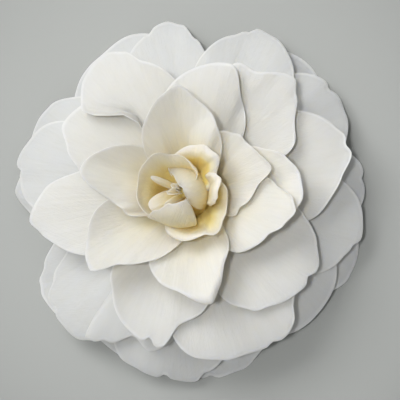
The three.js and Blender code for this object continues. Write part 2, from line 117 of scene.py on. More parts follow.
# A smooth line through a few points, level at each of them.
def through(x, points):
    total = points[0][1] + 0 * x
    for (low, before), (high, after) in zip(points, points[1:]):
        total = total + (after - before) * smooth(x, low, high)
    return total


# Radius and height along an arc: its chord is reach * sin(h) / h, with h half of what it turns,
# and points along the start's lean plus h.
def alongArc(reach, ring, rise, lean, bend):
    half = np.radians(bend) * reach / 2
    chord = reach * np.sinc(half / np.pi)
    way = np.radians(lean) + half
    return ring + chord * np.sin(way), rise + chord * np.cos(way)


# Radius and height on the bowl of a level, whose arc is read between those of the table.
def onBowl(reach, level):
    q = np.clip(level, bowls["level"][0], bowls["level"][-1])
    arc = [np.interp(q, bowls["level"], bowls[k]) for k in ("ring", "rise", "lean", "bend")]
    return alongArc(reach, *arc)


# Millimetres between bowls for one whole level, from two bowls close on each side.
def bowlDistance(reach, level):
    step = layers["levelStep"]
    r0, z0 = onBowl(reach, level - step)
    r1, z1 = onBowl(reach, level + step)
    return np.maximum(np.hypot(r1 - r0, z1 - z0) / (2 * step), layers["leastDistance"])


# Half the angle of a petal's fan: asin(half its width / distance of its widest place from the
# fan's point), over how far across that place lies.
def fanAngle(p):
    fromPoint = outline["claw"] + outline["widestAlong"] * p["long"]
    return math.asin(p["wide"] / 2 / fromPoint) / outline["widestAcross"]


# Length of a petal at t across: (1 - |t|^bluntness)^fullness, less the fall from its point, with a
# slant to one side, the millimetres of its own edge and a bell-shaped cut for each notch.
def lengthAt(p, t, notched=True):
    sides = (1 - np.minimum(np.abs(t), 1) ** outline["bluntness"]) ** outline["fullness"]
    tip = 1 - p["point"] * (np.hypot(t - p["peak"], outline["pointRound"]) - outline["pointRound"])
    cut = sum(depth * bell(t, at, width) for at, width, depth in p["notch"]) if notched else 0
    plain = p["long"] * (np.maximum(sides, outline["leastLength"]) * tip * (1 + p["slant"] * t) - cut)
    return np.maximum(plain + through(t, p["edge"]), outline["leastWhole"] * p["long"])


# The radius that a petal wraps round, which stays off the axis.
def wrapRadius(reach, p):
    radius = alongArc(reach, *p["arc"])[0] if p["arc"] else onBowl(reach, p["level"])[0]
    return np.maximum(radius, layers["leastRadius"])


# What is beyond a strip's start turns up, or down, along a circle, and runs straight on after most
# of a half turn: how far it then lies out, and how high above the petal.
def curl(out, start, strip):
    bow, most = relief["rollBow"], relief["rollTurn"]
    over = np.maximum(out - start, 0)
    angle = np.minimum(over / bow, most)
    rest = over - angle * bow
    up = bow * (1 - np.cos(angle)) + rest * math.sin(most)
    return out - over + bow * np.sin(angle) + rest * math.cos(most), math.copysign(1, strip) * up


# t across and s along for a petal's grid. The columns of a bud petal crowd towards its sides, where
# its outline runs steeply.
def placesOn(p):
    across = np.linspace(-1, 1, grid["across"])
    t, s = np.meshgrid(across, np.linspace(0, 1, grid["along"]), indexing="ij")
    return (np.sin(t * np.pi / 2) if p["arc"] else t), s


# Height of the small waves, which grow with s^3, and of the creases, which stand in groups and grow
# with s^4, for a petal whose waves are 1 high.
def smallRelief(t, s, phase):
    wavesOn, creasesOn, groupsOn = (k * phase for k in relief["outOfStep"])
    waves = s ** 3 * np.sin(relief["smallWaves"] * t + wavesOn)
    groups = (1 + np.sin(relief["creaseGroups"] * t + groupsOn)) / 2
    creases = s ** 4 * np.sin(relief["creases"] * t + creasesOn) * groups
    return relief["smallWaveShare"] * waves + relief["creaseShare"] * creases


# A petal's points before it meets the others, as turn, reach and how high they lie above its bowl,
# over t across and s along. Its fan is laid flat from the ring and wrapped on its bowl; cup, tilt
# and waves raise it. A roll curls its rim, and a fold curls one of its sides.
def petalPoints(p, step, rolled):
    t, s = placesOn(p)
    theta = t * fanAngle(p)
    rim = outline["claw"] + lengthAt(p, t)
    rho = outline["claw"] + lengthAt(p, t) * s
    phase = goldenAngle * step
    up = p["wave"] * s ** 3 * np.sin(relief["waves"] * t + phase)
    if rolled:
        at, strip, width = p["roll"]
        rho, rise = curl(rho, rim - abs(strip) * bell(t, at, width), strip)
        up = up + rise + p["wave"] * smallRelief(t, s, phase)
    x, y = rho * np.sin(theta), rho * np.cos(theta) - outline["claw"]
    if rolled:
        kept = through(y, p["trim"])
        side, strip, at, width = p["fold"]
        x = np.where(side * x > 0, x * kept, x)
        x, rise = curl(side * x, p["wide"] / 2 * kept - abs(strip) * bell(y, at, width), strip)
        x, up = side * x, up + rise
    ring = p["arc"][0] if p["arc"] else float(onBowl(0, p["level"])[0])
    flat = np.hypot(ring + y, x)
    reach = flat - ring
    away = np.arctan2(x, ring + y) * flat / wrapRadius(reach, p)
    if p["arc"]:
        wrap = math.radians(p["wrap"])
        away = wrap * np.tanh(away / wrap)
    turn = math.radians(p["turn"]) + away
    side = x / (p["wide"] / 2)
    tilt = p["tilt"] * (s if p["arc"] else 1)
    return turn, reach, up + p["cup"] * side ** 2 + tilt * side


# The largest or the mean of the values within some steps of each, along one axis.
def slide(values, steps, axis, pick):
    margin = [(steps, steps) if k == axis else (0, 0) for k in (0, 1)]
    padded = np.pad(values, margin, mode="edge")
    windows = np.lib.stride_tricks.sliding_window_view(padded, 2 * steps + 1, axis=axis)
    return pick(windows, axis=-1)


# A smooth cover over all values: the largest nearby, then averaged twice over the same stretch.
def coverOver(values):
    for pick, across, along in layers["coverSteps"]:
        values = slide(slide(values, across, 0, pick), along, 1, pick)
    return values


# The level that lies under each place: the highest of the four cells round it.
def levelBelow(levelMap, turn, reach):
    cells, last = layers["roundCells"], layers["outCells"] - 1
    i = np.floor(turn / (2 * np.pi) % 1 * cells).astype(int) % cells
    j = np.floor(np.clip(reach / layers["outLimit"] * last, 0, last - 1)).astype(int)
    k = (i + 1) % cells
    return np.maximum.reduce([levelMap[i, j], levelMap[i, j + 1], levelMap[k, j], levelMap[k, j + 1]])


# Lays a finished petal on the map: each cell's place is turned back into t and s on the petal, and
# takes the level between the four grid points round it.
def layOnMap(levelMap, p, level):
    reach = np.linspace(0, layers["outLimit"], layers["outCells"])[None, :]
    around = np.arange(layers["roundCells"])[:, None] / layers["roundCells"] * 360
    away = (around - p["turn"] + 180) % 360 - 180
    ring = float(onBowl(0, p["level"])[0])
    flat = ring + reach
    turn = np.radians(away) * wrapRadius(reach, p) / flat
    x, y = flat * np.sin(turn), flat * np.cos(turn) - ring + outline["claw"]
    t = np.arctan2(x, y) / fanAngle(p)
    s = (np.hypot(x, y) - outline["claw"]) / lengthAt(p, t, notched=False)
    inside = (np.abs(turn) <= np.pi / 2) & (np.abs(t) <= 1) & (s <= 1)
    column = np.clip((t + 1) / 2, 0, 1) * (grid["across"] - 1)
    row = np.clip(s, 0, 1) * (grid["along"] - 1)
    c = np.minimum(column.astype(int), grid["across"] - 2)
    r = np.minimum(row.astype(int), grid["along"] - 2)
    u, v = column - c, row - r
    near = level[c, r] * (1 - u) + level[c + 1, r] * u
    far = level[c, r + 1] * (1 - u) + level[c + 1, r + 1] * u
    laid = near * (1 - v) + far * v
    levelMap[inside] = np.maximum(levelMap, laid)[inside]


# How far a petal is lifted, in millimetres: enough to clear the whorls below it and the petals of
# its own whorl, of which it stays free only from the wall of its slice outwards.
def liftOver(below, own, turn, reach, level, scale, wall, free):
    overWhorls = (levelBelow(below, turn, reach) - level) * scale + layers["whorlDistance"]
    overWhorls = coverOver(np.maximum(overWhorls, 0)) * smooth(reach / wall, *layers["whorlLift"])
    overOwn = (levelBelow(own, turn, reach) - level) * scale + layers["layerDistance"]
    overOwn = coverOver(np.maximum(overOwn, 0) * smooth(reach, wall, free))
    return np.maximum(overWhorls, overOwn * smooth(reach / wall, *layers["ownLift"]))


# A petal's own level with its relief on it.
def levelWith(p, reach, up):
    return p["level"] + up / bowlDistance(np.maximum(reach, layers["reliefFrom"]), p["level"])


# Works out a whorl, outermost petal first, each lifted clear of those it lies on. The rims curl
# only after that, so a rim that turns down doesn't push its whole petal up. A petal with an arc of
# its own lies on no bowl and isn't lifted.
def unfold(petals, first, wall, free, below):
    own = np.full_like(below, layers["bare"])
    made = []
    for k, p in enumerate(petals):
        if p["arc"]:
            turn, reach, up = petalPoints(p, first + k, True)
            made.append(onArc(turn, reach, up, *p["arc"]))
            continue
        turn, reach, up = petalPoints(p, first + k, False)
        level = levelWith(p, reach, up)
        scale = bowlDistance(np.maximum(reach, layers["liftFrom"]), level)
        lift = liftOver(below, own, turn, reach, level, scale, wall, free) / scale
        layOnMap(own, p, level + lift)
        turn, reach, up = petalPoints(p, first + k, True)
        made.append(inSpace(turn, reach, levelWith(p, reach, up) + lift))
    np.maximum(below, own, out=below)
    return made


# Millimetres in space. Near the surface that the bloom lies on, a petal flattens softly.
def inSpace(turn, reach, level):
    r, z = onBowl(reach, level)
    above = z - layers["floorHeight"]
    z = layers["floorHeight"] + (above + np.sqrt(above ** 2 + layers["floorSoftness"])) / 2
    return np.stack((r * np.cos(turn), r * np.sin(turn), z), -1)


# The same for a petal on its own arc, raised at right angles to it.
def onArc(turn, reach, up, ring, rise, lean, bend):
    r, z = alongArc(reach, ring, rise, lean, bend)
    way = np.radians(lean + bend * reach)
    r, z = r - up * np.cos(way), z + up * np.sin(way)
    return np.stack((r * np.cos(turn), r * np.sin(turn), z), -1)


# The petals of each whorl, outermost first. turn: degrees round the axis; level: its bowl; long and
# wide: millimetres. point, peak, slant: its outline, with edge, what it is longer by at places
# across; notch: where, width and depth. cup, tilt, wave: its relief; warm: painted golden shade
# that deepens its cream. roll: where across, how much of the rim, up or down, and how broad. fold:
# which side, how much, where along and how broad; trim: what share of that side is kept, at places
# along. arc: a ring, rise, lean and bend of its own, in place of a bowl, with wrap, the most degrees
# that it turns each way.
outerPetals = [
    blade(123, 0.000, 52, 36, edge=((-0.7, 4), (-0.35, 3.6), (0.1, 0.9), (0.5, 0))),
    blade(52, 0.005, 52, 36, edge=((-0.4, -2), (0, 0.4), (0.4, -1.5))),
    blade(212, 0.010, 55, 34, cup=1.2, edge=((-0.5, -7.2), (-0.28, -4), (-0.15, -0.2), (0, 1.5))),
    blade(332, 0.015, 50, 34, edge=((-0.3, -3), (0, 0.5), (0.3, 1))),
    blade(284, 0.020, 53, 34, edge=((-0.4, 3.3), (0, -0.3), (0.3, -3.8)), notch=((-0.3, 0.05, 0.03),)),
    blade(154, 0.040, 53, 33, edge=((-0.5, -3.5), (-0.2, 0), (0, 1.5), (0.3, 2))),
    blade(2, 0.045, 49, 34, edge=((-0.3, -2), (0, 0), (0.25, 0.8), (0.45, -1)),
          notch=((0.12, 0.04, 0.02),)),
    blade(177, 0.050, 55, 30, point=0.2, edge=((0, 0.6), (0.3, -1.7))),
    blade(241, 0.050, 50, 28, edge=((-0.2, 0.8), (0.15, 1.9))),
    blade(32, 0.080, 51, 34, edge=((-0.4, -2.7), (-0.1, -1), (0.1, 0.3), (0.3, 1.1)),
          notch=((0.2, 0.05, 0.025),)),
    blade(98, 0.090, 53, 34, notch=((0.24, 0.04, 0.03),),
          edge=((-0.42, -9.8), (-0.26, -6.5), (-0.1, -1.4), (0.05, 0.8), (0.2, 0), (0.35, -2))),
    blade(67, 0.120, 52, 33, cup=1.2, notch=((0.15, 0.04, 0.03),),
          edge=((-0.4, -1.1), (-0.1, 0.6), (0.1, 1.5), (0.3, -2.5), (0.6, -3.5))),
    blade(317, 0.090, 48, 36, cup=1.2, edge=((-0.3, 1.2), (0.2, 0.5))),
    blade(262, 0.100, 53, 36, edge=((-0.55, 4), (-0.3, 1.5), (0, 1), (0.25, 2), (0.35, 0)),
          notch=((-0.05, 0.04, 0.03), (0.3, 0.04, 0.02))),
    blade(168, 0.120, 55, 32, cup=1.2, edge=((-0.3, -1.5), (0, 0.4), (0.2, -1.8)),
          notch=((0.1, 0.03, 0.025),)),
    blade(220, 0.150, 53, 36, cup=1.2, notch=((-0.05, 0.04, 0.02),),
          edge=((-0.49, -9.6), (-0.31, -4.9), (-0.16, 0.3), (0.05, 1.3), (0.3, 2.5), (0.4, 1.5))),
    blade(346, 0.150, 50, 34, cup=1.2, edge=((-0.5, -3), (-0.25, -3.3), (0, -0.3), (0.2, -0.8)),
          notch=((-0.1, 0.04, 0.02),)),
    blade(246, 0.196, 52, 32, cup=1.2,
          edge=((-0.56, -18), (-0.49, -2), (-0.45, 4.2), (-0.38, 1.5), (-0.22, -3), (0.05, -9), (0.3, -5))),
]

middlePetals = [
    blade(14, 0.32, 48, 40, point=0.15, slant=0.05, notch=((0.08, 0.05, 0.035),), roll=(-0.15, 3, 0.4),
          edge=((-0.6, -0.8), (-0.4, -2.1), (-0.2, -1.3), (0, 0.8), (0.1, 1.3), (0.25, -0.3), (0.55, -1.3))),
    blade(294, 0.33, 50, 42, notch=((0.12, 0.04, 0.02),),
          edge=((-0.65, 3.3), (-0.3, 0), (-0.1, -1.1), (0.25, 0), (0.35, -0.5), (0.45, -3.1))),
    blade(189, 0.34, 47, 36, point=0.25,
          edge=((-0.55, -4.5), (-0.3, -0.7), (0, 0.8), (0.12, -0.8), (0.3, -1.9))),
    blade(325, 0.37, 46, 40, point=0.05, notch=((0, 0.04, 0.03),),
          edge=((-0.85, 4), (-0.6, 0), (-0.4, -2.6), (0.1, -2.7), (0.3, -5.2), (0.5, -6.4))),
    blade(256, 0.40, 45, 36, point=0.3, notch=((-0.02, 0.045, 0.06),),
          edge=((-0.75, 6), (-0.55, 3.1), (-0.1, 0.7), (0.11, 1.2), (0.25, -3.5), (0.6, 0.5))),
    blade(151, 0.38, 42, 34, point=0.1, slant=-0.05,
          edge=((-0.25, -0.2), (0, 0.3), (0.2, -2.7), (0.4, -5.6))),
    blade(121, 0.42, 48, 36, point=0.1, roll=(0.72, 5, 0.2),
          trim=((26, 0.12), (29, 0.24), (32.5, 0.6), (34.5, 0.85), (37, 1)),
          edge=((-0.65, -3.9), (-0.3, -4.3), (-0.18, -1), (0, 0.5), (0.3, 0.3), (0.45, -0.5))),
    blade(46, 0.43, 46, 36, point=0.15, slant=0.05, fold=(-1, 6, 24, 18),
          edge=((-0.65, -2), (-0.3, -5.4), (-0.1, -3), (0.02, -0.3), (0.33, -2.4), (0.6, 3.2))),
    blade(80, 0.47, 42, 34, point=0.25, peak=-0.3, fold=(-1, 5, 30, 12),
          edge=((-0.8, -2.5), (-0.5, -5.4), (-0.22, -0.3), (0.2, -0.6), (0.5, -0.2))),
]

innerPetals = [
    blade(4, 0.585, 40, 34, edge=((-0.3, -2.5), (-0.15, -2), (0.06, -3.2), (0.31, -5), (0.5, -7.7))),
    blade(344, 0.60, 40, 36, roll=(0.15, 1.8, 0.45),
          edge=((-0.64, -7.2), (-0.45, -7.7), (-0.23, -7), (-0.06, -3.3), (0.09, -0.7), (0.21, -2.4),
                (0.36, -7.4), (0.5, -9.5))),
    blade(273, 0.62, 38, 31, point=0.3, peak=0.25, roll=(0.25, -3, 0.4),
          edge=((-0.6, 2.6), (-0.4, 1.6), (-0.1, -0.8), (0.22, 0.4), (0.35, -2.4), (0.5, -3.7), (0.8, 2))),
    blade(228, 0.64, 41, 36, point=0.35, peak=-0.2,
          edge=((-0.71, 4), (-0.34, -0.5), (-0.2, -0.2), (-0.12, 1), (0.02, -5), (0.27, -6.9), (0.65, -8))),
    blade(20, 0.67, 34, 30, point=0.35, peak=-0.12, slant=0.12, roll=(-0.12, 1.5, 0.5),
          edge=((-0.88, 4.6), (-0.6, -2.4), (-0.28, -5), (-0.12, -0.5), (0.1, -2), (0.29, -2.5),
                (0.48, 0.7), (0.75, 5))),
    blade(169, 0.68, 37, 28, point=0.35, edge=((-0.6, 1.6), (-0.3, 0.8), (0, 0.4), (0.39, -4.1), (0.8, 2))),
    blade(92, 0.697, 38, 34, point=0.45, edge=((-0.5, 1), (-0.2, -1.7), (0, 0.3), (0.3, 0.8), (0.6, 2))),
]

# warm on the first three heart petals is painted golden shade on their steep insides.
heartPetals = [
    blade(322, 0.779, 25.5, 36, cup=3, tilt=1, point=0.1, peak=-0.12, warm=0.2, roll=(-0.55, -3.5, 0.35),
          edge=((-0.7, -1.5), (-0.4, -2), (-0.22, -3.5), (-0.1, 3.4), (0.02, -4.5), (0.15, -6.5),
                (0.3, -5), (0.46, -6))),
    blade(70, 0.780, 22, 25, warm=0.45, roll=(0, -2.2, 0.8),
          edge=((-0.5, -1), (-0.27, 3), (-0.1, 1), (0.1, -2), (0.4, -3))),
    blade(142, 0.790, 25, 38, cup=3.5, tilt=-1.8, point=0.35, peak=-0.1, warm=0.12, roll=(-0.55, 3.6, 0.27),
          edge=((-0.6, 2), (-0.36, 0), (-0.22, -2), (-0.09, 4.4), (0.03, 1), (0.17, 0), (0.45, 5))),
    blade(6, 0, 22.5, 9.5, cup=-0.5, roll=(0, -2.4, 2), arc=(4, 17, 14, 0.2)),
    blade(243, 0, 26, 26, cup=-1, tilt=3.8, wave=0.2, arc=(3.8, 21.6, 70, -4.9), wrap=56,
          edge=((-0.6, -12), (-0.42, -10), (-0.15, -3), (-0.03, 1), (0.1, 2.4), (0.5, 3.6), (0.9, 10.5))),
    blade(32, 0, 26.1, 32, cup=-1.6, tilt=-2, wave=0.2, point=0.1, arc=(3.0, 17, 44, -4.3), wrap=95,
          edge=((-0.7, 2), (-0.1, -2), (0.2, -3), (0.44, -4), (0.6, -2.5), (0.85, 5.5))),
    blade(206, 0, 18, 5.5, cup=-1.5, wave=0.2, arc=(1, 22, 10, 3)),
    blade(157, 0, 17, 1.9, cup=-0.5, wave=0.2, arc=(1, 24, 10, 3)),
    blade(219, 0, 14, 1.6, cup=-0.5, wave=0.2, arc=(1, 25, 5, 3)),
    blade(155, 0, 12, 4, cup=1, wave=0.8, arc=(1, 24, 0, 2)),
    blade(125, 0, 13, 4, cup=1, wave=0.8, arc=(1, 24, 0, 1.5)),
    blade(182, 0, 13, 3.4, cup=1, wave=0.8, arc=(0.8, 25, 2, 2)),
]

# The nine scales of the calyx follow each other round by two fifths of a turn, each a little higher
# and larger.
sepals = [blade(144 * k, -0.49 + 0.03 * k, 9 + 0.35 * k, 11 + 0.2 * k, cup=0.5, tilt=0.4, wave=0)
          for k in range(9)]


# Collects the parts of one piece as whole arrays, then makes its mesh.
class Parts:
    def __init__(self):
        self.points = []
        self.faces = []
        self.where = []
        self.shade = []
        self.count = 0

    def add(self, points, faces, where, shade):
        self.points.append(points)
        self.faces.append(faces + self.count)
        self.where.append(where)
        self.shade.append(shade)
        self.count += len(points)

    def mesh(self, name):
        points = np.concatenate(self.points) * mm
        faces = np.concatenate(self.faces)
        made = bpy.data.meshes.new(name)
        made.vertices.add(len(points))
        made.vertices.foreach_set("co", points.ravel())
        made.loops.add(faces.size)
        made.loops.foreach_set("vertex_index", faces.ravel())
        made.polygons.add(len(faces))
        made.polygons.foreach_set("loop_start", np.arange(0, faces.size, faces.shape[1]))
        made.update(calc_edges=True)
        onPetal = made.uv_layers.new(name="onPetal").data
        onPetal.foreach_set("uv", np.concatenate(self.where)[faces.ravel()].ravel())
        shade = np.concatenate(self.shade)
        for k, title in enumerate(("warmth", "petalNumber", "depth", "edgeward")):
            values = made.attributes.new(title, "FLOAT", "POINT").data
            values.foreach_set("value", shade[:, k].copy())
        made.shade_smooth()
        made.validate()
        piece = bpy.data.objects.new(name, made)
        bpy.context.scene.collection.objects.link(piece)
        return piece


bladeForm = {
    "thinFrom": (0.85, 0.88),   # where a blade starts to thin towards its rim, across and along
    "lip": 0.45,                # how far its rim bulges out, in thicknesses of the rim
    "warmUntil": (0.72, 0.96),  # where a petal's own warmth, painted golden shade, fades out, along it
    "mapLength": 60.0,          # millimetres for one unit of the UV map
}


# Each vector over its own length, which is kept above nothing.
def unit(vectors):
    length = np.linalg.norm(vectors, axis=-1, keepdims=True)
    return vectors / np.maximum(length, 1e-9)


# A closed blade round a grid of middle points: each point moves half the thickness along the normal
# of the grid, up for the upper face and down for the lower, and both meet in a rounded rim. The
# thickness falls smoothly to that of the rim over the last tenth or so of the way to each side.
def addBlade(parts, p, middle, thickness, rim, warmth, number):
    across, along = middle.shape[:2]
    cells = across * along
    normal = unit(np.cross(np.gradient(middle, axis=1), np.gradient(middle, axis=0)))
    t, s = placesOn(p)
    thinAcross, thinAlong = bladeForm["thinFrom"]
    nearRim = np.maximum(smooth(np.abs(t), thinAcross, 1), smooth(s, thinAlong, 1))
    half = (thickness + (rim - thickness) * nearRim)[..., None] / 2
    index = np.arange(cells).reshape(across, along)
    a, b, c, d = index[:-1, :-1], index[1:, :-1], index[1:, 1:], index[:-1, 1:]
    upper = np.stack((a, d, c, b), -1).reshape(-1, 4)
    lower = np.stack((a, b, c, d), -1).reshape(-1, 4) + cells
    edge = np.concatenate([index[:, 0][::-1], index[0, 1:], index[1:, -1], index[-1, -2:0:-1]])
    flatMiddle = middle.reshape(-1, 3)
    alongEdge = np.roll(flatMiddle[edge], -1, 0) - np.roll(flatMiddle[edge], 1, 0)
    outwards = unit(np.cross(alongEdge, normal.reshape(-1, 3)[edge]))
    lip = flatMiddle[edge] + outwards * rim * bladeForm["lip"]
    lipHere = 2 * cells + np.arange(len(edge))
    lipAfter = np.roll(lipHere, -1)
    edgeAfter = np.roll(edge, -1)
    lipUpper = np.stack((edge, lipHere, lipAfter, edgeAfter), -1)
    lipLower = np.stack((lipHere, edge + cells, edgeAfter + cells, lipAfter), -1)
    above, under = (middle + normal * half).reshape(-1, 3), (middle - normal * half).reshape(-1, 3)
    points = np.concatenate([above, under, lip])
    faces = np.concatenate([upper, lower, lipUpper, lipLower])
    rho = outline["claw"] + lengthAt(p, t) * s
    where = np.stack((0.5 + t * fanAngle(p) / 2, rho / bladeForm["mapLength"]), -1).reshape(-1, 2)
    # warm adds painted golden shade on top of the petal's own cream.
    warm = warmth(s, rho) + p["warm"] * (1 - smooth(s, *bladeForm["warmUntil"]))
    # How near its rim a point lies, where the material paints a highlight.
    edgeward = np.maximum(s, np.abs(t))
    shade = np.stack((warm, np.full_like(s, number), s, edgeward), -1).reshape(-1, 4)
    where = np.concatenate([where, where, where[edge]])
    shade = np.concatenate([shade, shade, shade[edge]])
    parts.add(points, faces, where, shade)


# A closed solid of revolution from a profile of radius and height that starts and ends on the axis:
# (r cos a, r sin a, z) for angles a all round. The points on the axis are merged afterwards.
def addTurned(parts, profile, warmth, sides=96):
    angle = np.linspace(0, 2 * np.pi, sides, endpoint=False)[:, None]
    r, z = profile[:, 0][None, :], profile[:, 1][None, :]
    ring = np.stack((r * np.cos(angle), r * np.sin(angle), z + 0 * angle), -1)
    index = np.arange(ring.shape[0] * ring.shape[1]).reshape(ring.shape[:2])
    after = np.roll(index, -1, 0)
    faces = np.stack((index[:, :-1], after[:, :-1], after[:, 1:], index[:, 1:]), -1).reshape(-1, 4)
    height = z / bladeForm["mapLength"]
    where = np.stack(np.broadcast_arrays(angle / (2 * np.pi), height), -1).reshape(-1, 2)
    shade = np.stack(np.broadcast_arrays(warmth + 0 * angle, -1.0, 0 * z, 0.0), -1).reshape(-1, 4)
    parts.add(ring.reshape(-1, 3), faces, where, shade)


# The outline of a slice of the receptacle, between two bowls: out along the lower one, up its wall,
# whose corners are rounded by q^4 with q from -1 to 1 up it, and back in along the upper one. A
# domed knob of unopened petals can stand on its middle.
def sliceProfile(low, high, wall, knob=None, steps=10, rounding=0.5):
    reach = wall - rounding * np.linspace(-1, 1, steps) ** 4
    side = np.stack(onBowl(reach, np.linspace(low, high, steps)), -1)
    inwards = np.linspace(reach[0], 0, 6)[1:]
    under = np.stack(onBowl(inwards[::-1], low), -1)
    over = np.stack(onBowl(inwards, high), -1)
    if not knob:
        return np.concatenate([[[0, under[0, 1]]], under, side, over, [[0, over[-1, 1]]]])
    way = np.linspace(0, np.pi / 2, 8)[:-1]
    height = knob["top"] + knob["radius"] * (np.sin(way) - 1)
    dome = np.stack((knob["radius"] * np.cos(way), height), -1)
    return np.concatenate([[[0, under[0, 1]]], under, side, over[:-1], dome, [[0, knob["top"]]]])


neck = {"radius": 3.2, "edge": 0.25, "waist": 0.15, "sunk": 0.6}


# The neck under the calyx: a short stalk, narrower in the middle by waist * sin(pi * way up), with
# a rounded cut edge. Its top is sunk into the lowest slice.
def neckProfile(lowest):
    top = float(onBowl(0, lowest)[1]) + neck["sunk"]
    r, e = neck["radius"], neck["edge"]
    quarter = np.linspace(-np.pi / 2, 0, 5)
    edge = np.stack((r - e + e * np.cos(quarter), e + e * np.sin(quarter)), -1)
    up = np.linspace(0, 1, 8)[1:]
    side = np.stack((r - neck["waist"] * np.sin(np.pi * up), e + (top - e) * up), -1)
    return np.concatenate([[[0, 0], [r * 0.5, 0]], edge, side, [[0, top]]])


# Wraps a socket, so that + - * / and ** add Math nodes, also with a number in front.
class Value:
    def __init__(self, shader, socket):
        self.shader = shader
        self.socket = socket

    def math(self, operation, *values):
        return self.shader.node("ShaderNodeMath", {"operation": operation}, dict(enumerate(values)))

    def __add__(self, other):
        return self.math("ADD", self, other)

    def __radd__(self, other):
        return self.math("ADD", other, self)

    def __sub__(self, other):
        return self.math("SUBTRACT", self, other)

    def __rsub__(self, other):
        return self.math("SUBTRACT", other, self)

    def __mul__(self, other):
        return self.math("MULTIPLY", self, other)

    def __rmul__(self, other):
        return self.math("MULTIPLY", other, self)

    def __truediv__(self, other):
        return self.math("DIVIDE", self, other)

    def __pow__(self, other):
        return self.math("POWER", self, other)


# A material's nodes.
class Shader:
    def __init__(self, name):
        self.material = bpy.data.materials.new(name)
        self.material.use_nodes = True
        self.tree = self.material.node_tree
        self.tree.nodes.clear()

    # Adds a node. Settings are set first; sockets is a dictionary of values or links by name or
    # number, and output names the socket that is given back.
    def node(self, kind, settings=None, sockets=None, output=0):
        made = self.tree.nodes.new(kind)
        for name, value in (settings or {}).items():
            setattr(made, name, value)
        for name, value in (sockets or {}).items():
            if isinstance(value, Value):
                self.tree.links.new(value.socket, made.inputs[name])
            else:
                made.inputs[name].default_value = value
        return Value(self, made.outputs[output])

    def attribute(self, name):
        return self.node("ShaderNodeAttribute", {"attribute_name": name}, output="Fac")

    # The three numbers of a vector, each by itself.
    def apart(self, vector):
        made = self.node("ShaderNodeSeparateXYZ", {}, {0: vector}).socket.node
        return [Value(self, socket) for socket in made.outputs]

    def between(self, value, low, high, toLow=0.0, toHigh=1.0):
        return self.node("ShaderNodeMapRange", {"interpolation_type": "SMOOTHSTEP"},
                         {0: value, 1: low, 2: high, 3: toLow, 4: toHigh})

    # Two colours mixed by a factor: 6 and 7 are the colour sockets of a Mix node, 2 its colour.
    def mixed(self, factor, first, second):
        return self.node("ShaderNodeMix", {"data_type": "RGBA"}, {0: factor, 6: first, 7: second},
                         output=2)

    def noise(self, x, y, z, detail=3.0, roughness=0.5):
        place = self.node("ShaderNodeCombineXYZ", {}, {0: x, 1: y, 2: z})
        return self.node("ShaderNodeTexNoise", {}, {"Vector": place, "Scale": 1.0, "Detail": detail,
                                                    "Roughness": roughness})

    # A normal from a height in metres.
    def bump(self, height, strength=0.8):
        return self.node("ShaderNodeBump", {}, {"Strength": strength, "Distance": 1.0, "Height": height})

    # The surface, of which a share can let light through from behind.
    def finish(self, sockets, lightThrough=0.0, throughColor=(1, 1, 1, 1)):
        surface = self.node("ShaderNodeBsdfPrincipled", {}, sockets)
        if lightThrough:
            through = self.node("ShaderNodeBsdfTranslucent", {}, {"Color": throughColor})
            surface = self.node("ShaderNodeMixShader", {}, {0: lightThrough, 1: surface, 2: through})
        output = self.tree.nodes.new("ShaderNodeOutputMaterial")
        self.tree.links.new(surface.socket, output.inputs["Surface"])
        return self.material


petalFinish = {
    "cream": (0.97, 0.885, 0.66, 1),
    # Painted golden shade: the heart's deep parts turn this colour; the cream before it is the petals' own.
    "paintedGoldenShade": (0.95, 0.72, 0.24, 1),
    "vein": (0.62, 0.60, 0.52, 1),
    # The rim white and its share paint a highlight along each petal's rim.
    "paintedRimHighlight": (0.97, 0.97, 0.95, 1),
    "paintedRimHighlightShare": 0.55,
    "veinsRound": 34.0,          # steps of each noise, for a radian of the fan and a unit of the map
    "veinsOut": 5.0,
    "fineRound": 105.4,
    "fineOut": 16.0,
    "cloudsRound": 5.0,
    "cloudsOut": 6.0,
    "cloudsInTone": 0.08,
    "veinsInTone": 0.06,
    "veinDepth": 0.0003,         # metres
    "fineDepth": 0.000105,
    "crinkleDepth": 0.0006,
    "roughness": 0.52,
    "roughnessSpan": 0.1,
    "shine": 0.35,
    "sheen": 0.08,
    "glowColor": (1.0, 0.88, 0.66),
    "glowReach": 0.0012,
    "throughColor": (1.0, 0.93, 0.76, 1),
}
